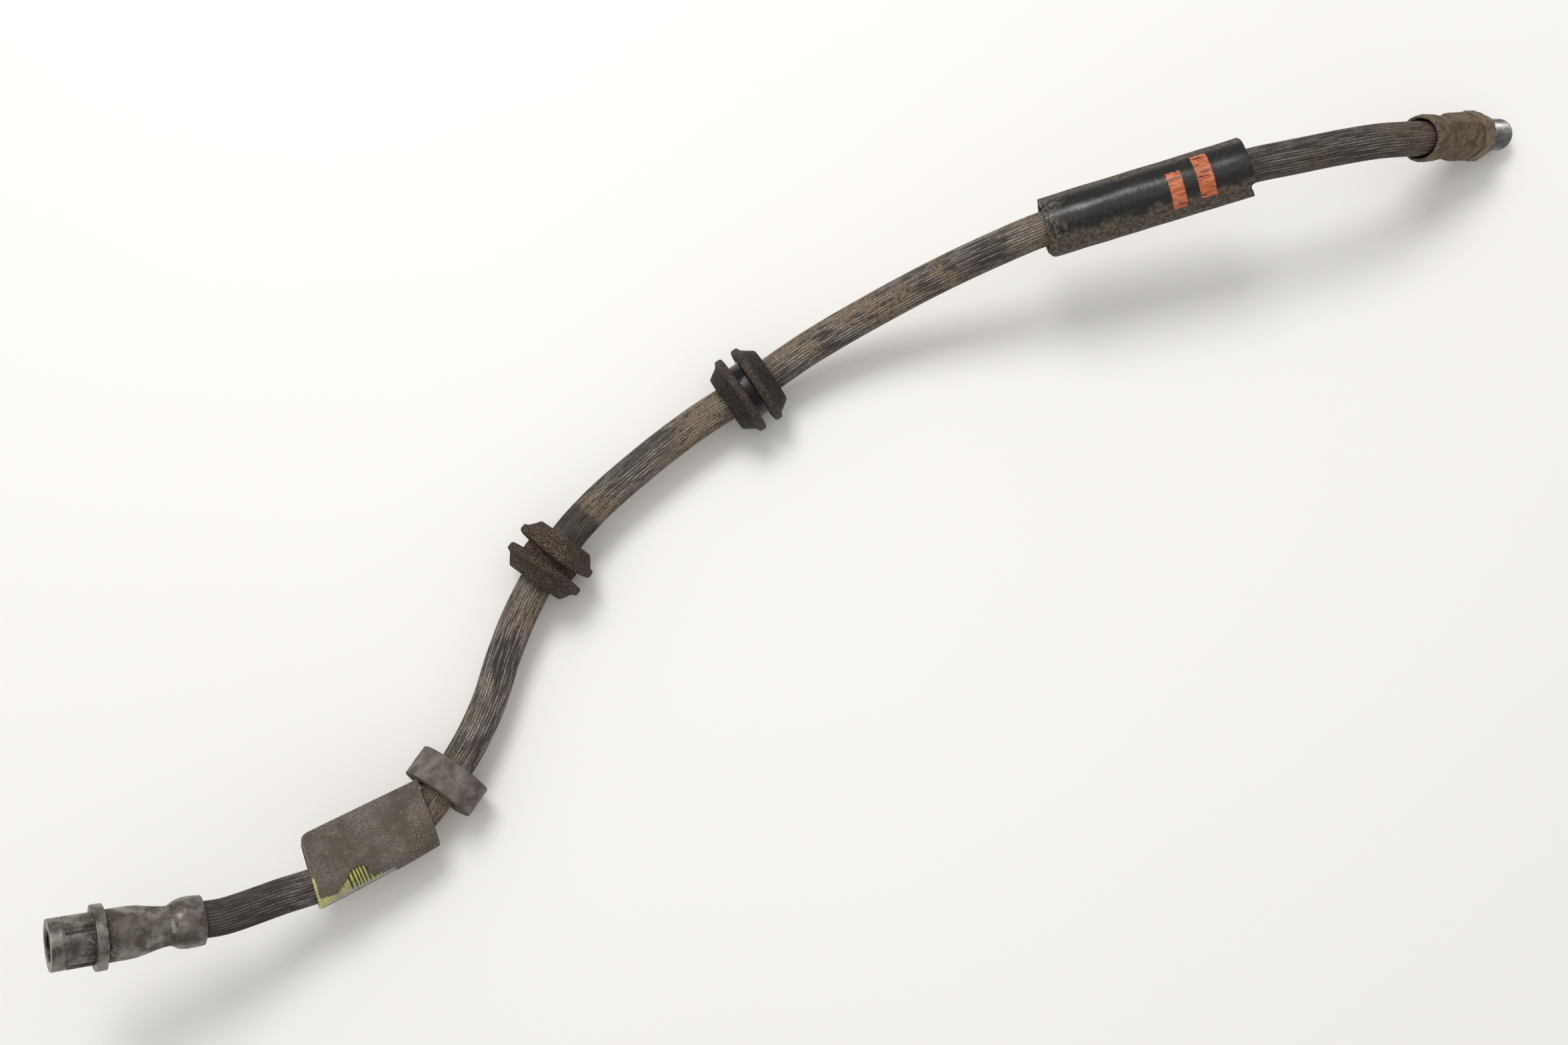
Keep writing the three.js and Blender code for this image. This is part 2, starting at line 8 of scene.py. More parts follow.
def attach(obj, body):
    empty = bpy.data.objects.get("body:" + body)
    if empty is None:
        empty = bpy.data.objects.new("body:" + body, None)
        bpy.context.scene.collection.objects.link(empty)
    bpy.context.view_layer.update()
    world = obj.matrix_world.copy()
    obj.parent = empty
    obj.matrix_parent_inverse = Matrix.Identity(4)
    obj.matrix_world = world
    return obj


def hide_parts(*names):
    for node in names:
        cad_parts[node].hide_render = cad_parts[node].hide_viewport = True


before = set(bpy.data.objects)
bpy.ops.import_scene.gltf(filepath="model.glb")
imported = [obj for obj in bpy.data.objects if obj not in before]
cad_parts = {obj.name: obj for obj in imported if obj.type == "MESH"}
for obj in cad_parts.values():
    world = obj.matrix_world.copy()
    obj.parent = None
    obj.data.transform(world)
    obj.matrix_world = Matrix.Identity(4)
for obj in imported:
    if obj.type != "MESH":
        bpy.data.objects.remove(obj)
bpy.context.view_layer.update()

MM = 0.001

# ---- sizes, in millimetres ------------------------------------------------

HOSE_RADIUS = 5.25
HOSE_BORE = 4.55  # inside the cover
CORE_RADIUS = 1.6  # the hose's own bore, which the crimps press towards
RIBS = 36
RIB_DEPTH = 0.22
HOSE_SPACING = 2.0  # between rings of the hose's mesh

FEMALE = {
    "shell": 26.3,
    "hose_depth": 24,
    "collar_start": 26.6,
    "collar_end": 29.6,
    "length": 41.2,
    "collar_radius": 9.2,
    "flat_apothem": 8.3,
    "socket_radius": 7.3,
    "recess_radius": 6.5,
    "groove": 37.4,
    "seat": 30.2,
}
FLAT_ANGLE = math.radians(35)
KEY_ANGLE = math.radians(152)  # where the middle of one of the lands lies
KEY_HALF_WIDTH = 3.75
KEY_LANDS = 2  # raised lands, opposite each other, across the recess

MALE = {
    "shell": 26.3,
    "hose_depth": 24,
    "hex_start": 26.6,
    "hex_end": 32.6,
    "shoulder_radius": 5.1,
    "thread_start": 33.6,
    "thread_end": 46,
    "length": 47.7,
}
HEX_APOTHEM = 7.0
HEX_TURN = math.radians(50)  # where the middle of one of the hexagon's flats lies

THREAD = {"crest": 5.0, "root": 4.4, "pitch": 1.0}
# The stem that both bodies hold inside the hose, and the neck behind it
STEM = {"start": 5, "end": 24.3, "bore": 0.75, "tip": 1.2, "radius": 1.3, "neck": 2.7}

GROMMET = {
    "flange": 12.8,
    "flange_width": 3.1,
    "groove": 8.9,
    "groove_width": 3.2,
    "shoulder": 11.3,
}
GROMMET_END = {"radius": 9.0, "length": 3.6}
RING = {"radius": 11.5, "bore": 6.4, "width": 9.6}
SLEEVE = {"radius": 9.05, "bore": 7.0, "length": 63}

FILM = 0.35
FILM_GAP = 0.25
LABEL = {
    "length": 37.6,
    "top": 11.2,
    "bottom": -10.9,
    "loop_top": 1.5,
    "half_depth": 6.35,
    "centre": -1.6,
    "start_slant": 0.147,
    "end_slant": 0.068,
    "taper": 0.14,
}

CORNER = 2.2  # radius of the flag's corner at the label's start
CLEAR_START = 0.8  # how much later than the printed film the clear one starts
# Where the clear film ends on the label's front: [x, up] from left to right,
# over a rubbed lower edge and an arched window
WORN_LINE = [
    (-22, -7.4),
    (-18.6, -7.9),
    (-14.5, -8.8),
    (-11.6, -7.0),
    (-9.7, -5.8),
    (-8.8, -4.6),
    (-6.7, -4.0),
    (-4.6, -4.6),
    (-3.6, -5.8),
    (-3.2, -8.8),
    (3.6, -9.4),
    (4.8, -12),
]

# ---- places, in metres ----------------------------------------------------

Spot = namedtuple("Spot", "point axis")


def at(x, y, z):
    """A point given in millimetres."""
    return Vector((x, y, z)) * MM


def direction(heading, climb):
    h = math.radians(heading)
    c = math.radians(climb)
    return Vector((math.cos(c) * math.cos(h), math.cos(c) * math.sin(h), math.sin(c)))


def spot(x, y, z, heading, climb):
    return Spot(at(x, y, z), direction(heading, climb))


def along(where, distance):
    """The point this many millimetres along a spot's axis."""
    return where.point + where.axis * (distance * MM)


def axis_frame(axis):
    """Turns +Z to the axis, +X level and +Y to the upper side."""
    level = Vector((0, 0, 1)).cross(axis).normalized()
    return Matrix((level, axis.cross(level), axis)).transposed()


FEMALE_MOUTH = spot(-178, -117.9, 36.5, 189.3, 29)
MALE_MOUTH = spot(180.9, 115.6, 32.5, 18.3, -36.4)
SLEEVE_START = spot(64.4, 84.9, 38.3, 15.8, 6.5)
RING_SPOT = spot(-114.1, -78.5, 12.4, 57, -11)
FRONT_GROMMET = spot(-84.3, -11.7, 13.1, 55, 2.4)
REAR_GROMMET = spot(-24, 41.5, 13.2, 34, 4.2)
LABEL_POINT = at(-135.2, -96.5, 19.1)
LABEL_TURN = {"heading": 27.4, "climb": -14.1, "roll": 11}

ROUTE = [
    along(FEMALE_MOUTH, 24),
    along(FEMALE_MOUTH, 12),
    along(FEMALE_MOUTH, 0),
    along(FEMALE_MOUTH, -6),
    at(-158.5, -111.8, 26.3),
    at(-147.8, -108, 21),
    at(-138.8, -102.9, 17.7),
    at(-129.8, -96.7, 15.1),
    at(-121, -88.5, 13.2),
    RING_SPOT.point,
    at(-107.1, -66.2, 11.5),
    at(-102.2, -54.7, 11),
    at(-98, -40.5, 11),
    at(-92.5, -26.5, 11.7),
    FRONT_GROMMET.point,
    at(-72.9, 2.8, 13.2),
    at(-56.8, 17.8, 12.9),
    at(-39.7, 31.3, 12.7),
    REAR_GROMMET.point,
    at(-5.5, 54, 15.5),
    at(12.5, 63.7, 20.2),
    at(33.3, 73.2, 28),
    at(51.7, 80.3, 35),
    along(SLEEVE_START, 0),
    along(SLEEVE_START, 21),
    along(SLEEVE_START, 42),
    along(SLEEVE_START, 63),
    at(139, 104.9, 46),
    at(153, 108.2, 44.8),
    at(165.3, 111.4, 41.3),
    along(MALE_MOUTH, -6),
    along(MALE_MOUTH, 0),
    along(MALE_MOUTH, 12),
    along(MALE_MOUTH, 24),
]


def smooth_curve(points, steps):
    """Points along the centripetal Catmull-Rom curve through the given ones."""
    ends = [2 * points[0] - points[1], *points, 2 * points[-1] - points[-2]]
    curve = []
    for p0, p1, p2, p3 in zip(ends, ends[1:], ends[2:], ends[3:]):
        d0, d1, d2 = (math.sqrt((b - a).length) for a, b in ((p0, p1), (p1, p2), (p2, p3)))
        m1 = ((p1 - p0) / d0 - (p2 - p0) / (d0 + d1) + (p2 - p1) / d1) * d1
        m2 = ((p2 - p1) / d1 - (p3 - p1) / (d1 + d2) + (p3 - p2) / d2) * d1
        for i in range(steps):
            t = i / steps
            square = (3 * (p2 - p1) - 2 * m1 - m2) * t**2
            cube = (2 * (p1 - p2) + m1 + m2) * t**3
            curve.append(p1 + m1 * t + square + cube)
    curve.append(points[-1])
    return curve


def evenly(curve, spacing):
    """The same line with points about `spacing` metres apart."""
    lengths = [0.0]
    for a, b in zip(curve, curve[1:]):
        lengths.append(lengths[-1] + (b - a).length)
    count = round(lengths[-1] / spacing)
    points = []
    k = 0
    for i in range(count):
        wanted = lengths[-1] * i / count
        while lengths[k + 1] < wanted:
            k += 1
        share = (wanted - lengths[k]) / (lengths[k + 1] - lengths[k])
        points.append(curve[k].lerp(curve[k + 1], share))
    points.append(curve[-1])
    return points


HOSE_LINE = evenly(smooth_curve(ROUTE, 24), HOSE_SPACING * MM)
HOSE_LENGTH = sum((b - a).length for a, b in zip(HOSE_LINE, HOSE_LINE[1:]))


CAMERA_POINT = at(-13, -88.7, 572.9)
CAMERA_TARGET = at(-13, 2, 0)
CAMERA_LENS = 42.54  # focal length, in millimetres
CAMERA_SENSOR = 36  # width, in millimetres


def set_camera():
    data = bpy.data.cameras.new("camera")
    data.sensor_width = CAMERA_SENSOR
    data.lens = CAMERA_LENS
    data.clip_start = 0.01
    camera = bpy.data.objects.new("camera", data)
    camera.location = CAMERA_POINT
    sight = CAMERA_TARGET - camera.location
    camera.rotation_euler = sight.to_track_quat("-Z", "Y").to_euler()
    bpy.context.scene.collection.objects.link(camera)
    bpy.context.scene.camera = camera


# ---- materials ------------------------------------------------------------

# The dark and the pale grains of the dirt crusted on the label
DIRT_DARK = (0.062, 0.049, 0.038)
DIRT_PALE = (0.205, 0.178, 0.152)


class Look:
    """A node material; each method adds a node and returns its output.

    Patterns are laid out by the piece's own coordinates, in millimetres: z
    runs along its axis, and x and y across it.
    """

    def __init__(self, name, roughness, metallic=0.0, specular=0.5):
        self.material = bpy.data.materials.new(name)
        self.material.use_nodes = True
        self.tree = self.material.node_tree
        self.shader = self.tree.nodes["Principled BSDF"]
        self.shader.inputs["Roughness"].default_value = roughness
        self.shader.inputs["Metallic"].default_value = metallic
        self.shader.inputs["Specular IOR Level"].default_value = specular
        self.local = self.node("ShaderNodeAttribute", {}, attribute_name="local").outputs["Vector"]
        parts = self.node("ShaderNodeSeparateXYZ", {0: self.local})
        self.x, self.y, self.z = parts.outputs

    def node(self, kind, inputs, **settings):
        made = self.tree.nodes.new(kind)
        for key, value in settings.items():
            setattr(made, key, value)
        for key, value in inputs.items():
            if isinstance(value, bpy.types.NodeSocket):
                self.tree.links.new(value, made.inputs[key])
            else:
                made.inputs[key].default_value = value
        return made

    def scaled(self, stretch):
        made = self.node("ShaderNodeVectorMath", {0: self.local, 1: stretch}, operation="MULTIPLY")
        return made.outputs[0]

    def noise(self, per_mm, detail=3.0, stretch=(1, 1, 1)):
        inputs = {"Vector": self.scaled(stretch), "Scale": per_mm, "Detail": detail}
        return self.node("ShaderNodeTexNoise", inputs).outputs[0]

    def fade(self, value, low, high, start=0.0, end=1.0):
        """start below low, end above high, and a smooth change between them."""
        inputs = {0: value, 1: low, 2: high, 3: start, 4: end}
        return self.node("ShaderNodeMapRange", inputs, interpolation_type="SMOOTHSTEP").outputs[0]

    def band(self, value, low, high, soft):
        """1 between low and high, fading to 0 over `soft` on both sides."""
        rise = self.fade(value, low - soft, low)
        return self.times(rise, self.fade(value, high, high + soft, 1.0, 0.0))

    def math(self, operation, a, b=0.0):
        return self.node("ShaderNodeMath", {0: a, 1: b}, operation=operation).outputs[0]

    def times(self, a, b):
        return self.math("MULTIPLY", a, b)

    def most(self, a, b):
        return self.math("MAXIMUM", a, b)

    def mix(self, share, a, b):
        colours = [(*c, 1.0) if isinstance(c, tuple) else c for c in (a, b)]
        inputs = {0: share, 6: colours[0], 7: colours[1]}
        return self.node("ShaderNodeMix", inputs, data_type="RGBA").outputs[2]

    def across(self):
        """Distance from the piece's axis."""
        flat = self.scaled((1, 1, 0))
        return self.node("ShaderNodeVectorMath", {0: flat}, operation="LENGTH").outputs["Value"]

    def angle(self):
        """Angle round the axis: 0 level, 90 degrees on the upper side."""
        return self.math("ARCTAN2", self.y, self.x)

    def bump(self, height, depth_mm, strength=1.0, under=None):
        inputs = {"Height": height, "Distance": depth_mm * MM, "Strength": strength}
        if under is not None:
            inputs["Normal"] = under
        return self.node("ShaderNodeBump", inputs).outputs[0]

    def finish(self, colour, roughness=None, normal=None, metallic=None):
        wanted = {"Base Color": colour, "Roughness": roughness, "Normal": normal, "Metallic": metallic}
        for key, value in wanted.items():
            if value is not None:
                self.tree.links.new(value, self.shader.inputs[key])
        return self.material


def station(where):
    """Distance along the hose, in mm, of the place nearest to a point."""
    nearest = min(range(len(HOSE_LINE)), key=lambda i: (HOSE_LINE[i] - where).length)
    return nearest * HOSE_SPACING


def hose_dust(look):
    """Pale dust, in streaks along the ribs that are broken into ticks."""
    streaks = look.fade(look.noise(1.3, 5, (1, 1, 0.12)), 0.38, 0.6)
    ticks = look.fade(look.noise(2.2, 4, (0.8, 0.8, 1.6)), 0.38, 0.58, 0.2, 1.0)
    return look.times(streaks, ticks)


def hose_dirt(look):
    """Ochre dirt in patches, with more between the rear grommet and the sleeve."""
    start = station(REAR_GROMMET.point) + 12
    end = station(SLEEVE_START.point) - 4
    more = look.times(look.band(look.z, start, end, 15), look.fade(look.noise(0.11, 4), 0.5, 0.62))
    patches = look.most(look.fade(look.noise(0.05, 5, (1, 1, 0.7)), 0.42, 0.62), more)
    grit = look.fade(look.noise(1.1, 5), 0.4, 0.62)
    return look.times(patches, grit)


def hose_oil(look):
    """Dark stains: in patches, towards both ends and just past the front grommet."""
    patches = look.times(look.fade(look.noise(0.035, 3), 0.36, 0.5, 1.0, 0.0), 0.45)
    sleeve = station(SLEEVE_START.point) - 4
    socket_end = look.fade(look.z, 40, 62, 0.7, 0.0)
    screw_end = look.fade(look.z, sleeve, sleeve + 60, 0.0, 0.5)
    stains = look.most(patches, look.most(socket_end, screw_end))
    past_grommet = station(FRONT_GROMMET.point) + 12
    ring = look.band(look.z, past_grommet - 3, past_grommet + 4, 3)
    return look.most(stains, look.times(ring, 0.7))


def hose_rubber():
    """Ribbed rubber: dark valleys, dusty crests, ochre dirt and dark stains."""
    look = Look("hose_rubber", 0.75, specular=0.2)
    crest = look.fade(look.across(), HOSE_RADIUS - RIB_DEPTH, HOSE_RADIUS)
    dust = hose_dust(look)
    crest_dust = look.times(dust, look.fade(crest, 0.1, 0.8, 0.15, 1.0))
    colour = look.mix(crest_dust, (0.055, 0.045, 0.038), (0.42, 0.38, 0.34))
    colour = look.mix(hose_dirt(look), colour, (0.22, 0.158, 0.1))
    colour = look.mix(hose_oil(look), colour, (0.028, 0.024, 0.022))
    normal = look.bump(look.noise(2.2, 5), 0.12, 0.5)
    return look.finish(colour, look.fade(dust, 0.0, 1.0, 0.62, 0.9), normal)


def recess_zone(look):
    """1 in the socket's keyed recess, between the collar and the groove."""
    below_band = look.fade(look.across(), 6.7, 7.1, 1.0, 0.0)
    return look.times(look.band(look.z, FEMALE["collar_end"], FEMALE["groove"], 0.3), below_band)


def steel_grime(look, in_recess):
    """Dirt in the recess's corner by the collar, and at the shell's collar end."""
    collar_end = FEMALE["collar_end"]
    shell = FEMALE["shell"]
    corner = look.times(in_recess, look.fade(look.z, collar_end + 0.5, collar_end + 5, 1.0, 0.25))
    behind_collar = look.fade(look.z, shell - 4, shell, 0.0, 1.0)
    on_shell = look.fade(look.z, shell, shell + 0.3, 1.0, 0.0)
    grime = look.most(corner, look.times(behind_collar, on_shell))
    return look.times(grime, look.fade(look.noise(1.1, 5), 0.36, 0.54))


def land_edge_painted_shade(look, in_recess):
    """Painted shade: a dark line in the recess along both edges of each key land."""
    side = (-math.sin(KEY_ANGLE), math.cos(KEY_ANGLE), 0)
    off_land = look.node("ShaderNodeVectorMath", {0: look.local, 1: side}, operation="DOT_PRODUCT")
    off_land = look.math("ABSOLUTE", off_land.outputs["Value"])
    edge_shade = look.band(off_land, KEY_HALF_WIDTH + 0.15, KEY_HALF_WIDTH + 0.75, 0.15)
    return look.times(in_recess, edge_shade)


def worn_steel():
    """Plated steel, dulled and finely pitted, with brown dirt in its corners, light grain specks that
    are partly painted glints, and painted shade along its key lands.
    """
    look = Look("worn_steel", 0.4, 0.8)
    mottle = look.noise(0.3, 6)
    grain = look.noise(3.2, 5)
    colour = look.mix(look.fade(mottle, 0.36, 0.62), (0.085, 0.07, 0.059), (0.25, 0.226, 0.206))
    # Light grain specks: partly the steel's own grain, partly painted glints.
    colour = look.mix(look.fade(grain, 0.46, 0.68, 0.0, 0.3), colour, (0.42, 0.39, 0.365))
    stain = look.fade(look.noise(0.22, 6), 0.5, 0.66, 0.0, 0.75)
    patches = look.fade(look.noise(0.5, 5), 0.42, 0.6, 0.15, 1.0)
    pits = look.times(look.fade(look.noise(4.5, 5), 0.34, 0.46, 0.75, 0.0), patches)
    in_recess = recess_zone(look)
    # The darkest mix: dirt in the corners, pits, and painted shade along the key lands' edges.
    dark = look.most(look.most(steel_grime(look, in_recess), pits), land_edge_painted_shade(look, in_recess))
    colour = look.mix(stain, colour, (0.085, 0.063, 0.046))
    colour = look.mix(dark, colour, (0.04, 0.03, 0.023))
    dull = look.most(stain, dark)
    rough = look.fade(dull, 0.0, 1.0, 0.36, 0.6)
    metallic = look.fade(dull, 0.0, 1.0, 0.88, 0.25)
    fine = look.bump(grain, 0.08, 0.5)
    normal = look.bump(look.noise(0.6, 3), 0.2, 0.3, fine)
    return look.finish(colour, rough, normal, metallic)


def dirty_steel():
    """Steel under a skin of olive-brown road dirt, rusty along its edges."""
    look = Look("dirty_steel", 0.66, 0.12, specular=0.2)
    blotch = look.fade(look.noise(0.35, 6), 0.38, 0.62)
    colour = look.mix(blotch, (0.058, 0.041, 0.025), (0.135, 0.098, 0.06))
    grain = look.fade(look.noise(2.4, 5), 0.45, 0.68, 0.0, 0.45)
    colour = look.mix(grain, colour, (0.22, 0.18, 0.14))
    rust = look.times(look.fade(look.noise(0.5, 6), 0.5, 0.66), look.fade(look.z, 12, 18, 0.1, 0.6))
    colour = look.mix(rust, colour, (0.22, 0.115, 0.04))
    bare = look.times(look.fade(look.z, 0.6, 1.6, 0.5, 0.0), look.fade(look.noise(1.6, 5), 0.4, 0.6))
    colour = look.mix(bare, colour, (0.20, 0.175, 0.145))
    marks = look.fade(look.noise(1.6, 6), 0.34, 0.42, 0.7, 0.0)
    colour = look.mix(marks, colour, (0.028, 0.021, 0.016))
    fine = look.bump(look.noise(2.4, 5), 0.12, 0.5)
    normal = look.bump(look.noise(0.7, 4), 0.3, 0.5, fine)
    return look.finish(colour, None, normal)


def hexagon_dirt(look):
    """Colour of the screw end's dirty and rusty hexagon."""
    blotch = look.fade(look.noise(0.3, 6), 0.35, 0.65)
    dirt = look.mix(blotch, (0.07, 0.05, 0.033), (0.155, 0.115, 0.08))
    rust = look.fade(look.noise(0.5, 6), 0.48, 0.64, 0.0, 0.7)
    dirt = look.mix(rust, dirt, (0.24, 0.125, 0.045))
    grain = look.fade(look.noise(2.4, 5), 0.45, 0.68, 0.0, 0.4)
    return look.mix(grain, dirt, (0.24, 0.2, 0.16))


def thread_shine(look):
    """Colour of the screw end's thread, bright on its crests with its roots painted near black as
    shade, and of its nose.
    """
    crest = look.fade(look.across(), THREAD["root"] + 0.22, THREAD["crest"] - 0.06)
    # The near-black root colour is painted shade in the thread's valleys.
    bright = look.mix(crest, (0.015, 0.014, 0.014), (0.30, 0.29, 0.295))
    streaks = look.fade(look.noise(0.5, 4, (1, 1, 0.5)), 0.35, 0.6, 0.45, 1.0)
    bright = look.mix(streaks, (0.07, 0.063, 0.06), bright)
    nose = look.fade(look.z, MALE["thread_end"] - 0.2, MALE["thread_end"] + 0.3)
    return look.mix(nose, bright, (0.24, 0.215, 0.2))


def screw_steel():
    """Dirty and rusty on the hexagon, bright on the thread's crests."""
    look = Look("screw_steel", 0.4, 0.9)
    on_thread = look.fade(look.z, MALE["hex_end"], MALE["hex_end"] + 0.4)
    colour = look.mix(on_thread, hexagon_dirt(look), thread_shine(look))
    rough = look.fade(on_thread, 0.0, 1.0, 0.65, 0.32)
    metallic = look.fade(on_thread, 0.0, 1.0, 0.12, 0.9)
    depth = look.fade(on_thread, 0.0, 1.0, 1.0, 0.15)
    normal = look.bump(look.times(look.noise(0.9, 5), depth), 0.3, 0.5)
    return look.finish(colour, rough, normal, metallic)


def brown_rubber():
    """Rubber coated in gritty brown dirt."""
    look = Look("brown_rubber", 0.85, specular=0.15)
    grit = look.noise(2.4, 6)
    colour = look.mix(look.fade(grit, 0.36, 0.62), (0.02, 0.015, 0.012), (0.095, 0.07, 0.05))
    pale = look.times(look.fade(look.noise(0.12, 3), 0.42, 0.62), look.fade(grit, 0.52, 0.66))
    colour = look.mix(pale, colour, (0.21, 0.16, 0.105))
    normal = look.bump(grit, 0.35, 0.7)
    return look.finish(colour, None, normal)


def dark_rubber():
    """Black moulded rubber, brown on its worn rims and shiny in its groove."""
    look = Look("dark_rubber", 0.6, specular=0.3)
    grit = look.noise(1.8, 6)
    colour = look.mix(look.fade(grit, 0.4, 0.66), (0.010, 0.008, 0.007), (0.045, 0.034, 0.027))
    rim = look.band(look.across(), GROMMET["flange"] - 0.5, GROMMET["flange"] + 1, 0.4)
    worn = look.times(rim, look.fade(look.noise(1.2, 5), 0.42, 0.62, 0.1, 0.8))
    colour = look.mix(worn, colour, (0.085, 0.064, 0.046))
    inside = look.fade(look.across(), GROMMET["groove"] + 0.2, GROMMET["groove"] + 1.0, 1.0, 0.0)
    groove = look.times(inside, look.band(look.z, -1.7, 1.7, 0.2))
    colour = look.mix(groove, colour, (0.005, 0.005, 0.0055))
    rough = look.fade(groove, 0.0, 1.0, 0.7, 0.25)
    normal = look.bump(grit, 0.15, 0.5)
    return look.finish(colour, rough, normal)


def grey_rubber():
    """Grey foamed rubber with light specks and brown dirt on its flat faces."""
    look = Look("grey_rubber", 0.9, specular=0.2)
    cloud = look.fade(look.noise(0.22, 5), 0.3, 0.7)
    grain = look.noise(3.8, 6)
    colour = look.mix(cloud, (0.11, 0.089, 0.075), (0.235, 0.205, 0.184))
    colour = look.mix(look.fade(grain, 0.34, 0.52, 0.7, 0.0), colour, (0.055, 0.043, 0.035))
    specks = look.times(look.fade(look.noise(3.4, 3), 0.56, 0.68), look.fade(cloud, 0.2, 1.0))
    colour = look.mix(look.times(specks, 0.6), colour, (0.36, 0.33, 0.31))
    half = RING["width"] / 2
    face = look.fade(look.math("ABSOLUTE", look.z), half - 0.35, half - 0.1)
    colour = look.mix(look.times(face, 0.75), colour, (0.15, 0.115, 0.078))
    normal = look.bump(grain, 0.3, 0.7)
    return look.finish(colour, None, normal)


def sleeve_dirt(look, grit):
    """Ragged dirt over both flanks, the underside and the sleeve's start."""
    fleck = look.noise(0.25, 6)
    shift = look.times(fleck, 5.0)
    top = look.fade(look.math("ADD", look.x, shift), 8.4, 10.4)
    low = look.fade(look.math("SUBTRACT", shift, look.x), 6.8, 9.6)
    under = look.fade(look.math("ADD", look.y, shift), 1.0, 4.0, 1.0, 0.0)
    flanks = look.most(look.most(top, low), under)
    start = look.fade(look.math("ADD", look.z, look.times(fleck, 8.0)), 6.5, 12.0, 1.0, 0.0)
    return look.most(flanks, look.times(start, look.fade(grit, 0.4, 0.6)))


def sleeve_rubber():
    """Smooth black rubber, brown with dirt on both flanks, with two paint dabs."""
    look = Look("sleeve_rubber", 0.35, specular=0.4)
    grit = look.noise(0.8, 6)
    dirt = sleeve_dirt(look, grit)
    brown = look.mix(look.fade(grit, 0.35, 0.65), (0.045, 0.036, 0.026), (0.135, 0.11, 0.082))
    black = look.mix(look.fade(grit, 0.5, 0.72), (0.012, 0.010, 0.009), (0.032, 0.027, 0.022))
    colour = look.mix(dirt, black, brown)
    dabs = paint_dabs(look)
    bristles = look.noise(1.2, 4, (1, 1, 0.2))
    paint = look.mix(look.fade(bristles, 0.35, 0.65), (0.42, 0.09, 0.028), (0.62, 0.19, 0.08))
    colour = look.mix(dabs, colour, paint)
    rough = look.most(look.fade(dirt, 0.0, 1.0, 0.24, 0.85), look.times(dabs, 0.5))
    normal = look.bump(grit, 0.10, 0.4)
    return look.finish(colour, rough, normal)


def paint_dabs(look):
    """Two plain brush strokes across the sleeve."""
    ragged = look.times(look.math("SUBTRACT", look.noise(0.9, 5), 0.5), 0.9)
    turn = look.math("ADD", look.angle(), look.times(ragged, 0.2))
    place = look.math("ADD", look.z, ragged)
    first = look.times(look.band(place, 38, 42, 0.25), look.band(turn, 1.3, 2.5, 0.05))
    second = look.times(look.band(place, 46.5, 51, 0.25), look.band(turn, 0.9, 2.4, 0.05))
    gaps = look.fade(look.noise(1.6, 4, (1, 1, 0.15)), 0.36, 0.44)
    return look.times(look.most(first, second), gaps)


def printed_bars(look, colour):
    """The colour with fine lines at the label's start and wide bars after them."""
    fine = look.fade(look.math("FRACT", look.times(look.x, 2.1)), 0.5, 0.7)
    fine = look.times(fine, look.band(look.x, -16.2, -10.4, 0.15))
    colour = look.mix(look.times(fine, 0.75), colour, (0.13, 0.125, 0.11))
    uneven = look.math("ADD", look.x, look.times(look.math("SINE", look.x), 0.22))
    wave = look.math("FRACT", look.times(uneven, 0.87))
    bars = look.times(look.fade(wave, 0.42, 0.5), look.fade(wave, 0.92, 1.0, 1.0, 0.0))
    bars = look.times(bars, look.band(look.x, -10.2, 4.0, 0.15))
    return look.mix(bars, colour, (0.03, 0.03, 0.028))


def label_print():
    """Yellow film printed with plain dark bars, worn pale along its lower fold."""
    look = Look("label_print", 0.5)
    stain = look.fade(look.noise(0.5, 5), 0.35, 0.7)
    pale = look.mix(stain, (0.62, 0.60, 0.22), (0.44, 0.40, 0.16))
    green = look.mix(stain, (0.52, 0.52, 0.07), (0.40, 0.38, 0.09))
    colour = printed_bars(look, look.mix(look.fade(look.x, -11.0, -10.0), pale, green))
    lower_fold = look.times(look.fade(look.y, -9.9, -9.2, 1.0, 0.0), look.fade(look.x, -17, -14))
    rubbed = look.times(lower_fold, look.fade(look.noise(1.0, 4), 0.32, 0.55, 0.2, 1.0))
    colour = look.mix(rubbed, colour, (0.36, 0.335, 0.29))
    grit = look.fade(look.noise(1.6, 5), 0.5, 0.64, 0.0, 0.8)
    crusted = look.most(grit, look.fade(look.y, -2.4, -1.0))
    crust = look.mix(look.fade(look.noise(4.4, 6), 0.34, 0.6), DIRT_DARK, DIRT_PALE)
    colour = look.mix(crusted, colour, crust)
    return look.finish(colour, None, look.bump(look.noise(1.2, 4), 0.08, 0.4))


def label_dirt():
    """Clear film crusted with fine grey-brown grit, with painted shade towards its lower right."""
    look = Look("label_dirt", 0.78, specular=0.2)
    grit = look.noise(4.4, 6)
    cloud = look.fade(look.noise(0.12, 5), 0.35, 0.65)
    base = look.mix(cloud, (0.13, 0.105, 0.085), DIRT_PALE)
    # Painted shade: darker olive towards the lower right, where the film wraps round the hose.
    olive = look.times(look.fade(look.x, 2.0, 16.0), look.fade(look.y, 4.0, -6.0))
    base = look.mix(look.times(olive, 0.75), base, (0.10, 0.078, 0.052))
    colour = look.mix(look.fade(grit, 0.34, 0.6), DIRT_DARK, base)
    sparkle = look.fade(look.noise(3.4, 2), 0.6, 0.68)
    sparkle = look.times(sparkle, look.fade(cloud, 0.0, 1.0, 0.3, 1.0))
    colour = look.mix(look.times(sparkle, 0.8), colour, (0.46, 0.42, 0.36))
    ochre = look.times(look.fade(look.noise(0.5, 4), 0.6, 0.72), 0.6)
    colour = look.mix(ochre, colour, (0.24, 0.175, 0.10))
    return look.finish(colour, None, look.bump(grit, 0.18, 0.7))


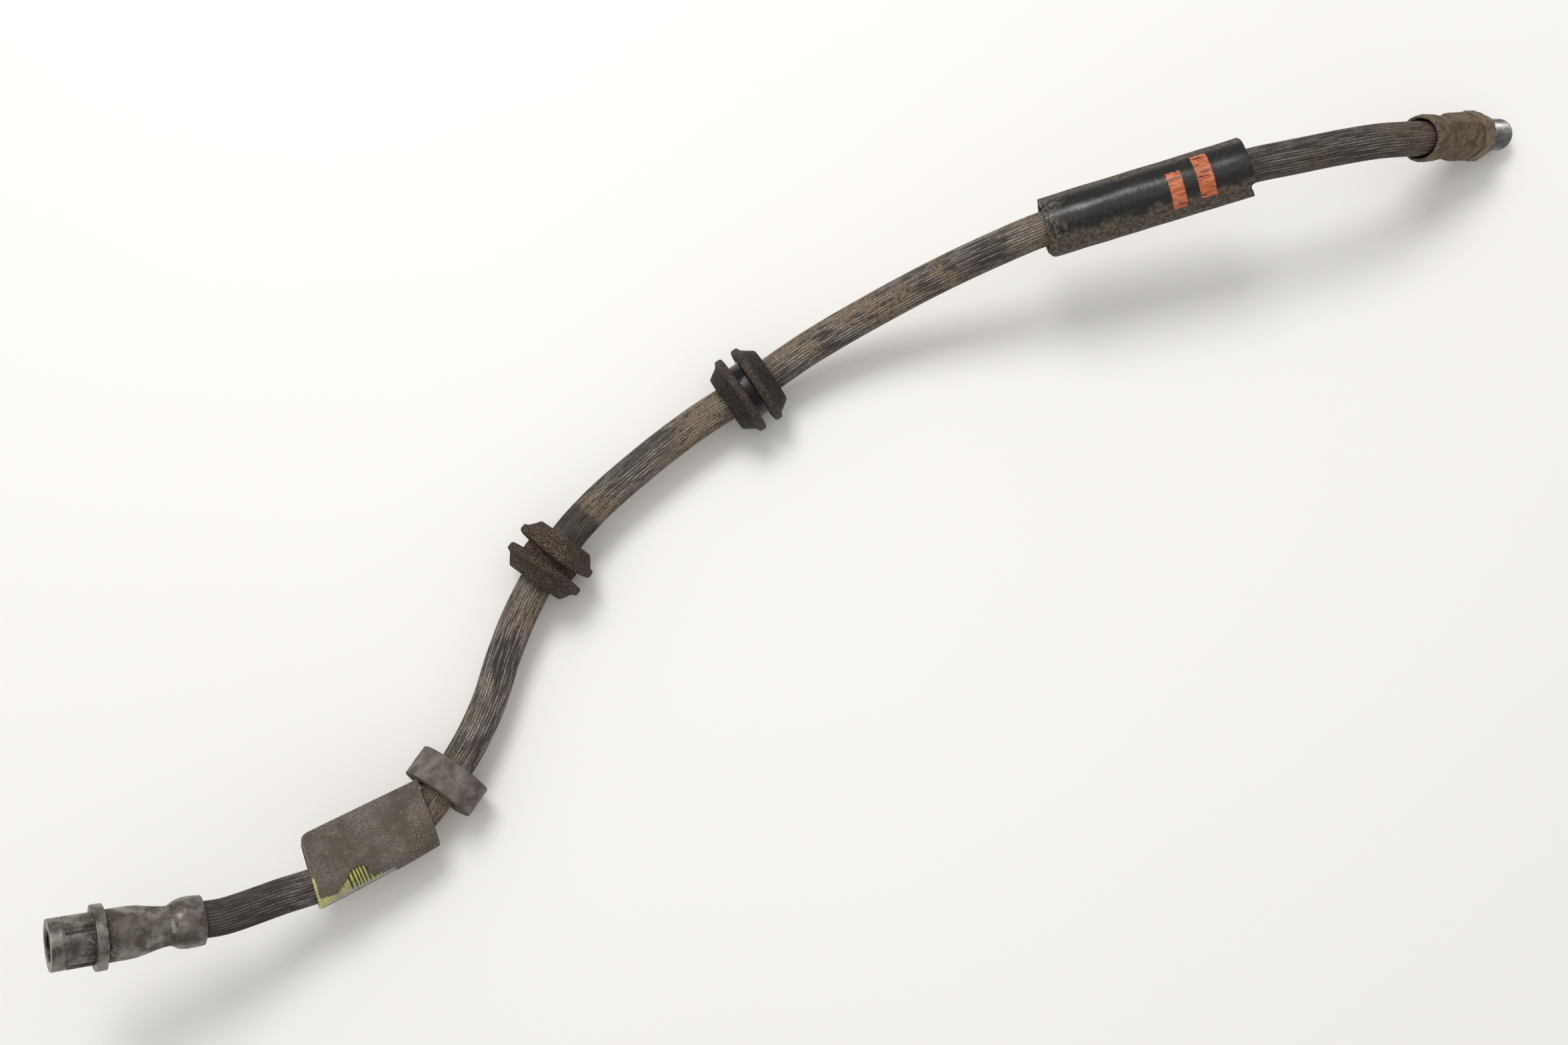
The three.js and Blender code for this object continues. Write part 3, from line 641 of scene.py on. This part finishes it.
def inner_look(name, colour, ridges):
    """Plain rubber or braided cord, for the layers inside the hose."""
    look = Look(name, 0.85)
    place = look.node("ShaderNodeTexCoord", {}).outputs["Object"]
    inputs = {"Vector": place, "Scale": ridges, "Detail": 3.0}
    weave = look.node("ShaderNodeTexNoise", inputs).outputs[0]
    darker = tuple(0.55 * c for c in colour)
    mixed = look.mix(look.fade(weave, 0.35, 0.65), darker, colour)
    return look.finish(mixed, None, look.bump(weave, 0.1, 0.6))


# ---- meshes ---------------------------------------------------------------


def add_piece(name, body, look, points, local, faces, crease=40):
    """A piece from row-frame points in metres and its own coordinates in mm."""
    mesh = bpy.data.meshes.new(name)
    mesh.from_pydata(points, [], faces)
    stored = mesh.attributes.new("local", "FLOAT_VECTOR", "POINT")
    stored.data.foreach_set("vector", [c for point in local for c in point])
    mesh.shade_smooth()
    mesh.set_sharp_from_angle(angle=math.radians(crease))
    mesh.materials.append(look)
    piece = bpy.data.objects.new(name, mesh)
    bpy.context.scene.collection.objects.link(piece)
    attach(piece, body)
    return piece


def ring_faces(rows, columns):
    """Faces of a grid that closes on itself both ways."""
    faces = []
    for i in range(rows):
        below = i * columns
        above = ((i + 1) % rows) * columns
        for j in range(columns):
            k = (j + 1) % columns
            faces.append((below + j, below + k, above + k, above + j))
    return faces


def rounded(profile, radius):
    """The closed profile with each corner turned into a short curve."""
    soft = []
    for i, corner in enumerate(profile):
        corner = Vector(corner)
        before = Vector(profile[i - 1]) - corner
        after = Vector(profile[(i + 1) % len(profile)]) - corner
        start = corner + before.normalized() * min(radius, before.length * 0.4)
        end = corner + after.normalized() * min(radius, after.length * 0.4)
        for t in (0, 1 / 3, 2 / 3, 1):
            soft.append(start * (1 - t) ** 2 + corner * (2 * t * (1 - t)) + end * t**2)
    return soft


def filled(profile, step):
    """The closed profile with points no further apart than `step`."""
    points = []
    for i, start in enumerate(profile):
        end = profile[(i + 1) % len(profile)]
        count = max(1, math.ceil((end - start).length / step))
        for k in range(count):
            points.append(start.lerp(end, k / count))
    return points


def turned(profile, columns, shape, step=0.6, corner=0.15):
    """Own coordinates of a surface turned about z from a closed [z, radius] profile.

    shape(radius, angle, z) gives the radius and z that each point is moved to.
    """
    local = []
    rows = filled(rounded(profile, corner), step)
    for z, radius in rows:
        for j in range(columns):
            angle = 2 * math.pi * j / columns
            new_radius, new_z = shape(radius, angle, z)
            local.append(Vector((new_radius * math.cos(angle), new_radius * math.sin(angle), new_z)))
    return local, ring_faces(len(rows), columns)


def placed(local, where):
    turn = axis_frame(where.axis)
    return [where.point + turn @ (point * MM) for point in local]


def turned_piece(name, body, slot, look, where, profile, columns, shape, crease=40, **options):
    local, faces = turned(profile, columns, shape, **options)
    return add_piece(name, body, look, placed(local, where), local, faces, crease)


def lumps(radius, angle, z, size, height):
    """Smooth unevenness, in mm, at a point of a turned surface."""
    where = Vector((radius * math.cos(angle), radius * math.sin(angle), z)) / size
    return height * noise.noise(where)


def smoothstep(value, low, high):
    t = min(max((value - low) / (high - low), 0.0), 1.0)
    return t * t * (3 - 2 * t)


def from_nearest(angle, count, first=0.0):
    """Angle from the nearest of `count` even directions, the first at `first`."""
    sector = 2 * math.pi / count
    offset = angle - first
    return offset - sector * round(offset / sector)


def tooth(angle, z):
    """Height of a right-hand thread's profile, from 0 at its root to 1."""
    phase = z / THREAD["pitch"] - angle / (2 * math.pi)
    height = abs(2 * (phase - math.floor(phase)) - 1)
    return min(max(1.5 * height - 0.25, 0.0), 1.0)


# ---- hose -----------------------------------------------------------------


def squeeze(place):
    """Share of the hose wall left, at this distance in mm from its start."""
    female_depth = FEMALE["hose_depth"] - place
    male_depth = MALE["hose_depth"] - (HOSE_LENGTH / MM - place)
    return 1 - 0.2 * smoothstep(max(female_depth, male_depth), 5, 11)


def hose_cover():
    columns = RIBS * 4
    points = []
    local = []
    outer_rows = []
    for i, centre in enumerate(HOSE_LINE):
        before = HOSE_LINE[max(i - 1, 0)]
        after = HOSE_LINE[min(i + 1, len(HOSE_LINE) - 1)]
        outer_rows.append((centre, axis_frame((after - before).normalized()), i * HOSE_SPACING))
    rows = [(True, *row) for row in outer_rows] + [(False, *row) for row in reversed(outer_rows)]
    for is_outside, centre, turn, place in rows:
        for j in range(columns):
            angle = 2 * math.pi * j / columns
            rib = RIB_DEPTH * (0.5 - 0.5 * math.cos(RIBS * angle))
            radius = HOSE_RADIUS - rib if is_outside else HOSE_BORE
            radius = CORE_RADIUS + (radius - CORE_RADIUS) * squeeze(place)
            across = Vector((radius * math.cos(angle), radius * math.sin(angle), 0))
            points.append(centre + turn @ (across * MM))
            local.append(Vector((across.x, across.y, place)))
    faces = ring_faces(len(rows), columns)
    piece = add_piece("hose_cover_ribbed", "hose", hose_rubber(), points, local, faces)
    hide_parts("hose_cover")
    return piece


def dress_inner_layers():
    rubber = inner_look("inner_rubber", (0.03, 0.03, 0.032), 900)
    braid = inner_look("braid_cord", (0.45, 0.41, 0.33), 1800)
    looks = {
        "hose_liner": rubber,
        "hose_inner_braid": braid,
        "hose_cushion_layer": rubber,
        "hose_outer_braid": braid,
    }
    for name, look in looks.items():
        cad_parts[name].material_slots[0].material = look


# ---- socket end -----------------------------------------------------------


def stem_profile(body_start):
    """[z, radius] points of a body's stem, from its bore to the body's first face."""
    return [
        (STEM["start"], STEM["bore"]),
        (STEM["start"], STEM["tip"]),
        (STEM["end"], STEM["radius"]),
        (STEM["end"], STEM["neck"]),
        (body_start, STEM["neck"]),
    ]


def female_body(look):
    f = FEMALE
    socket_bore = 5.1
    profile = stem_profile(f["collar_start"]) + [
        (f["collar_start"], f["collar_radius"]),
        (f["collar_end"], f["collar_radius"]),
        (f["collar_end"], f["socket_radius"]),
        (f["groove"], f["socket_radius"]),
        (f["groove"], 7.0),
        (f["groove"] + 0.35, 7.0),
        (f["groove"] + 0.35, f["socket_radius"]),
        (f["length"], f["socket_radius"]),
        (f["length"], socket_bore),
        (f["seat"] + 0.3, socket_bore),
        (f["seat"], 4.15),
        (f["seat"] - 1.4, 1.6),
        (f["seat"] - 1.4, STEM["bore"]),
    ]

    def shape(radius, angle, z):
        if radius > 6 and f["collar_end"] + 0.1 < z < f["groove"] - 0.05:
            off_land = abs(radius * math.sin(from_nearest(angle, KEY_LANDS, KEY_ANGLE)))
            cut = smoothstep(off_land, KEY_HALF_WIDTH, KEY_HALF_WIDTH + 0.2)
            radius -= cut * (f["socket_radius"] - f["recess_radius"])
        elif radius > 7.5:
            off_flat = from_nearest(angle, 2, FLAT_ANGLE)
            radius = min(radius, f["flat_apothem"] / max(math.cos(off_flat), 0.1))
        elif 4.9 < radius < 5.2 and z > f["seat"] + 0.3:
            radius = socket_bore - 0.55 * tooth(angle, z)
        if radius > 5.5:
            radius += lumps(radius, angle, z, 1.2, 0.05)
        return radius, z

    piece = turned_piece(
        "female_socket_turned", "hose", "worn_steel", look, FEMALE_MOUTH, profile, 192, shape,
        crease=24, step=0.25,
    )
    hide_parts("female_socket_body")
    return piece


def female_shell(look):
    outside = [
        (0, 7.1),
        (3, 7.3),
        (5.2, 7.25),
        (6.6, 6.95),
        (8, 6.5),
        (9.4, 6.3),
        (12, 6.35),
        (14, 6.6),
        (16, 6.9),
        (18.4, 7.2),
        (21, 7.35),
        (26.3, 7.4),
    ]
    inside = [(26.3, 3.0), (24.6, 3.0), (24.6, 4.95), (10, 4.95), (6, 5.7), (0, 5.8)]
    waist = 9.5  # where the crimp is deepest
    deepest = 5.55  # how far its facets lie from the axis there

    def shape(radius, angle, z):
        if radius > 5.8 and 6 < z < 19:
            long_side = deepest + 1.75 * (abs(z - waist) / 8.5) ** 1.6
            bell = deepest + 2.2 * smoothstep(waist - z, 0, 4)
            apothem = bell if z < waist else long_side
            radius = min(radius, apothem / math.cos(from_nearest(angle, 8)))
        if radius > 5.2:
            radius += lumps(radius, angle, z, 1.6, 0.05) + lumps(radius, angle, z, 5, 0.08)
        return radius, z

    piece = turned_piece(
        "female_shell_crimped", "hose", "worn_steel", look, FEMALE_MOUTH,
        outside + inside, 160, shape, step=0.3, corner=0.3,
    )
    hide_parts("female_crimp_shell")
    return piece


# ---- screw end ------------------------------------------------------------


def male_body():
    m = MALE
    profile = stem_profile(m["hex_start"]) + [
        (m["hex_start"], 7.2),
        (m["hex_start"] + 0.5, 7.9),
        (m["hex_end"] - 0.8, 7.9),
        (m["hex_end"], 6.9),
        (m["hex_end"], m["shoulder_radius"]),
        (m["thread_start"] - 0.3, m["shoulder_radius"]),
        (m["thread_start"], THREAD["crest"]),
        (m["thread_end"], THREAD["crest"]),
        (m["thread_end"] + 0.2, THREAD["root"]),
        (m["length"], 4.1),
        (m["length"], 1.5),
        (m["thread_start"], 1.5),
        (m["thread_start"], STEM["bore"]),
    ]

    def shape(radius, angle, z):
        if radius > 6:
            off_flat = from_nearest(angle, 6, HEX_TURN)
            radius = min(radius, HEX_APOTHEM / math.cos(off_flat))
            radius += lumps(radius, angle, z, 1.8, 0.12)
        elif radius > THREAD["root"] + 0.2 and m["thread_start"] <= z <= m["thread_end"] + 0.1:
            fade = min(z - m["thread_start"], m["thread_end"] + 0.1 - z, 1)
            radius -= (THREAD["crest"] - THREAD["root"]) * (1 - tooth(angle, z)) * fade
        return radius, z

    piece = turned_piece(
        "male_screw_turned", "hose", "bright_steel", screw_steel(), MALE_MOUTH, profile, 192, shape,
        step=0.2, corner=0.2,
    )
    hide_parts("male_screw_body")
    return piece


def male_shell():
    outside = [
        (0, 6.8),
        (1, 7.1),
        (2.6, 7.2),
        (6, 7.1),
        (9, 6.75),
        (11.4, 6.5),
        (13.2, 6.9),
        (16, 7.4),
        (25.8, 7.6),
        (26.3, 7.2),
    ]
    inside = [(26.3, 3.0), (24.6, 3.0), (24.6, 5.15), (10.5, 5.15), (6, 5.95), (0, 6.05)]

    def shape(radius, angle, z):
        if radius > 6.1 and z > 11:
            off_flat = from_nearest(angle, 6, HEX_TURN)
            pressed = 6.35 + 0.35 * smoothstep(z, 13, 26)
            radius = min(radius, pressed / math.cos(off_flat))
            off_corner = abs(from_nearest(angle, 6, HEX_TURN + math.pi / 6))
            start_mark = max(0.0, 1 - off_corner / 0.22) * max(0.0, 1 - abs(z - 13.2) / 1.3)
            radius -= 0.7 * start_mark
        if radius > 5.5:
            radius += lumps(radius, angle, z, 2.0, 0.14)
        return radius, z

    piece = turned_piece(
        "male_shell_crimped", "hose", "worn_steel", dirty_steel(), MALE_MOUTH,
        outside + inside, 144, shape, step=0.35, corner=0.25,
    )
    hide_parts("male_crimp_shell")
    return piece


# ---- rubber pieces --------------------------------------------------------


def hose_offset(where, z):
    """How far the hose's centre lies off a spot's straight axis at z, in mm."""
    turn = axis_frame(where.axis).transposed()
    near = [turn @ (p - where.point) / MM for p in HOSE_LINE if (p - where.point).length < 0.02]
    best = min(near, key=lambda p: abs(p.z - z))
    return best.x, best.y


def grommet(name, node, look, where, curl, grit):
    g = GROMMET
    inside = g["groove_width"] / 2
    rim = inside + g["flange_width"]
    half = rim + GROMMET_END["length"]
    side = [
        (inside, g["groove"]),
        (inside, g["flange"] - 0.5),
        (inside + 0.5, g["flange"]),
        (rim - 0.8, g["flange"]),
        (rim, g["shoulder"]),
        (half, GROMMET_END["radius"]),
        (half, HOSE_RADIUS + 0.1),
    ]
    other = [(-z, radius) for z, radius in reversed(side)]
    reach = math.ceil(half)
    offsets = {z: hose_offset(where, z) for z in range(-reach, reach + 1)}

    def shape(radius, angle, z):
        lift = max(0.0, radius - g["groove"]) / (g["flange"] - g["groove"])
        z += curl * lift * math.sin(2 * angle + 0.6) * (1 if z > 0 else -0.6)
        if radius > 7:
            radius += lumps(radius, angle, z, 2.5, grit)
        return radius, z

    local, faces = turned(other + side, 144, shape, step=0.5, corner=0.35)
    for point in local:
        radius = math.hypot(point.x, point.y)
        pull = 1 - smoothstep(radius, HOSE_RADIUS, g["groove"])
        shift = offsets[max(-reach, min(reach, round(point.z)))]
        point.x += shift[0] * pull
        point.y += shift[1] * pull
    piece = add_piece(name, "hose", look, placed(local, where), local, faces)
    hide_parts(node)
    return piece


def buffer_ring():
    half = RING["width"] / 2
    profile = [
        (-half, RING["bore"]),
        (-half, RING["radius"]),
        (half, RING["radius"]),
        (half, RING["bore"]),
    ]

    def shape(radius, angle, z):
        if radius > 7:
            radius += lumps(radius, angle, z, 2.2, 0.12)
        return radius, z + lumps(radius, angle, z, 6.0, 0.15)

    piece = turned_piece(
        "buffer_ring_foam", "buffer_ring", "grey_rubber", grey_rubber(), RING_SPOT, profile, 128, shape,
        step=0.5, corner=0.4,
    )
    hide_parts("buffer_ring")
    return piece


def abrasion_sleeve():
    length = SLEEVE["length"]
    profile = [
        (0, SLEEVE["bore"]),
        (0, SLEEVE["radius"]),
        (length, SLEEVE["radius"]),
        (length, SLEEVE["bore"]),
    ]

    def shape(radius, angle, z):
        near_start = 1 - smoothstep(z, 0, 6)
        near_end = smoothstep(z, length - 6, length)
        chip = 2.2 * max(0.0, 1 - abs(from_nearest(angle, 1, math.radians(200))) / 0.5)
        nick = 1.3 * smoothstep(abs(from_nearest(angle, 1, math.radians(165))), 0.42, 0.36)
        ragged = 0.25 * noise.noise(Vector((3 * math.cos(angle), 3 * math.sin(angle), z / 10)))
        z += near_start * (0.6 + 0.5 * math.cos(angle) + chip + ragged)
        z -= near_end * (0.4 + 0.3 * math.cos(angle) + nick + ragged)
        radius += lumps(radius, angle, z, 7.0, 0.12)
        return radius, z

    piece = turned_piece(
        "abrasion_sleeve_worn", "abrasion_sleeve", "black_rubber", sleeve_rubber(), SLEEVE_START,
        profile, 128, shape, step=0.7, corner=0.2,
    )
    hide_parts("abrasion_sleeve")
    return piece


# ---- label ----------------------------------------------------------------


def section_arc(up, front, radius, start, end):
    """Points round a centre of the section, every 6 degrees from start to below end."""
    angles = [math.radians(degrees) for degrees in range(start, end, 6)]
    return [Vector((up + radius * math.cos(a), front + radius * math.sin(a))) for a in angles]


def film_line(grow, reaches_front):
    """The film's section, `grow` mm out from its inner face: [up, front] points.

    It comes down the front, goes round the hose below and behind it, and turns
    back to the front above the hose, as far as the flag's back.
    """
    radius = LABEL["half_depth"] + grow
    centre = LABEL["centre"]
    low = LABEL["bottom"] + LABEL["half_depth"]
    turn_end = 90 if reaches_front else 78
    line = [Vector((LABEL["top"], centre + radius))]
    line += section_arc(low, centre, radius, 90, 271)
    line += section_arc(LABEL["loop_top"], centre, radius, -90, turn_end)
    return line


def stepped(line, step):
    """The open line with points about `step` apart."""
    points = []
    for start, end in zip(line, line[1:]):
        count = max(1, round((end - start).length / step))
        points += [start.lerp(end, k / count) for k in range(count)]
    return points + [line[-1]]


def height_on(line, x):
    """Height at x of a line of [x, height] points that runs from left to right."""
    for (x0, y0), (x1, y1) in zip(line, line[1:]):
        if x0 <= x < x1:
            return y0 + (y1 - y0) * (x - x0) / (x1 - x0)
    return line[-1][1]


def label_matrix():
    heading = Matrix.Rotation(math.radians(LABEL_TURN["heading"]), 3, "Z")
    climb = Matrix.Rotation(math.radians(-LABEL_TURN["climb"]), 3, "Y")
    roll = Matrix.Rotation(math.radians(LABEL_TURN["roll"]), 3, "X")
    return heading @ climb @ roll


def corner_inset(up, front):
    """How far the film's start is drawn in where the flag's corner is rounded."""
    rise = up - (LABEL["top"] - CORNER)
    if rise <= 0 or front < 3:
        return 0.0
    return CORNER - math.sqrt(max(CORNER**2 - rise**2, 0.0))


def label_sheet(name, node, look, line, start, keep=None):
    """A thin film along x over the section line.

    keep(x, up, front), where it is given, says which cells of the film stay.
    """
    step = 0.35
    section = stepped(line, step)
    half = LABEL["length"] / 2
    columns = round((half - start) / step)
    local = []
    for up, front in section:
        first = start + corner_inset(up, front)
        for j in range(columns + 1):
            x = first + (half - first) * j / columns
            share = x / LABEL["length"] + 0.5
            slant = LABEL["start_slant"] * (1 - share) + LABEL["end_slant"] * share
            risen = up * (1 - LABEL["taper"] * share**2) if up < 0 else up
            wave = 0.3 * noise.noise(Vector((x / 9, up / 6, 1.0)))
            local.append(Vector((x + slant * risen, risen, front + wave)))
    faces = []
    for i in range(len(section) - 1):
        for j in range(columns):
            corners = (i, j), (i, j + 1), (i + 1, j + 1), (i + 1, j)
            face = tuple(a * (columns + 1) + b for a, b in corners)
            middle = sum((local[k] for k in face), Vector()) / 4
            if keep is None or keep(middle.x, middle.y, middle.z):
                faces.append(face)
    turn = label_matrix()
    points = [LABEL_POINT + turn @ (point * MM) for point in local]
    piece = add_piece(name, "hose", look, points, local, faces)
    thicken = piece.modifiers.new("thickness", "SOLIDIFY")
    thicken.thickness = FILM * MM
    thicken.offset = 0
    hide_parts(node)
    return piece


def not_worn(x, up, front):
    """Whether the clear film is left: it is worn through low on the front."""
    ragged = 0.35 * noise.noise(Vector((1.5 * x, 1.5 * up, 0)))
    worn = front > -3 and up < height_on(WORN_LINE, x) + ragged
    return not worn


def label_films():
    start = -LABEL["length"] / 2
    printed = label_sheet(
        "label_print_film", "label_printed_film", label_print(),
        film_line(FILM / 2, True), start,
    )
    clear = label_sheet(
        "label_dirt_film", "label_clear_film", label_dirt(),
        film_line(1.5 * FILM + FILM_GAP, False), start + CLEAR_START, not_worn,
    )
    return [printed, clear]


# ---- studio ---------------------------------------------------------------


def add_floor():
    side = 2.0
    mesh = bpy.data.meshes.new("table")
    corners = [(-side, -side, 0), (side, -side, 0), (side, side, 0), (-side, side, 0)]
    mesh.from_pydata(corners, [], [(0, 1, 2, 3)])
    look = Look("table_paint", 0.6)
    place = look.node("ShaderNodeTexCoord", {}).outputs["Object"]
    cloud = look.node("ShaderNodeTexNoise", {"Vector": place, "Scale": 4.0}).outputs[0]
    mesh.materials.append(look.finish(look.mix(cloud, (0.92, 0.90, 0.87), (0.95, 0.935, 0.905))))
    floor = bpy.data.objects.new("table", mesh)
    bpy.context.scene.collection.objects.link(floor)


def add_softbox(name, towards, distance, size, energy):
    data = bpy.data.lights.new(name, "AREA")
    data.shape = "DISK"
    data.size = size
    data.energy = energy
    light = bpy.data.objects.new(name, data)
    light.location = towards.normalized() * distance
    light.rotation_euler = towards.to_track_quat("Z", "Y").to_euler()
    bpy.context.scene.collection.objects.link(light)


def add_lights():
    world = bpy.data.worlds.new("studio")
    world.use_nodes = True
    world.node_tree.nodes["Background"].inputs["Color"].default_value = (1.0, 0.99, 0.97, 1)
    world.node_tree.nodes["Background"].inputs["Strength"].default_value = 0.52
    bpy.context.scene.world = world
    key_side = Vector((-0.214, 0.518, 1))
    add_softbox("key", key_side, distance=1.3, size=0.5, energy=6.8)
    overhead_side = Vector((-0.1, 0.25, 1))
    add_softbox("overhead", overhead_side, distance=1.5, size=1.8, energy=5.0)
    bpy.context.scene.view_settings.view_transform = "Standard"


# ---- build ----------------------------------------------------------------

set_camera()
hose = hose_cover()
dress_inner_layers()
steel = worn_steel()
on_hose = [
    female_body(steel),
    female_shell(steel),
    male_body(),
    male_shell(),
    grommet(
        "front_grommet_dirty", "front_grommet", brown_rubber(), FRONT_GROMMET, curl=0.7, grit=0.35,
    ),
    grommet(
        "rear_grommet_dark", "rear_grommet", dark_rubber(), REAR_GROMMET, curl=0.15, grit=0.12,
    ),
    buffer_ring(),
    abrasion_sleeve(),
    *label_films(),
]
add_floor()
add_lights()
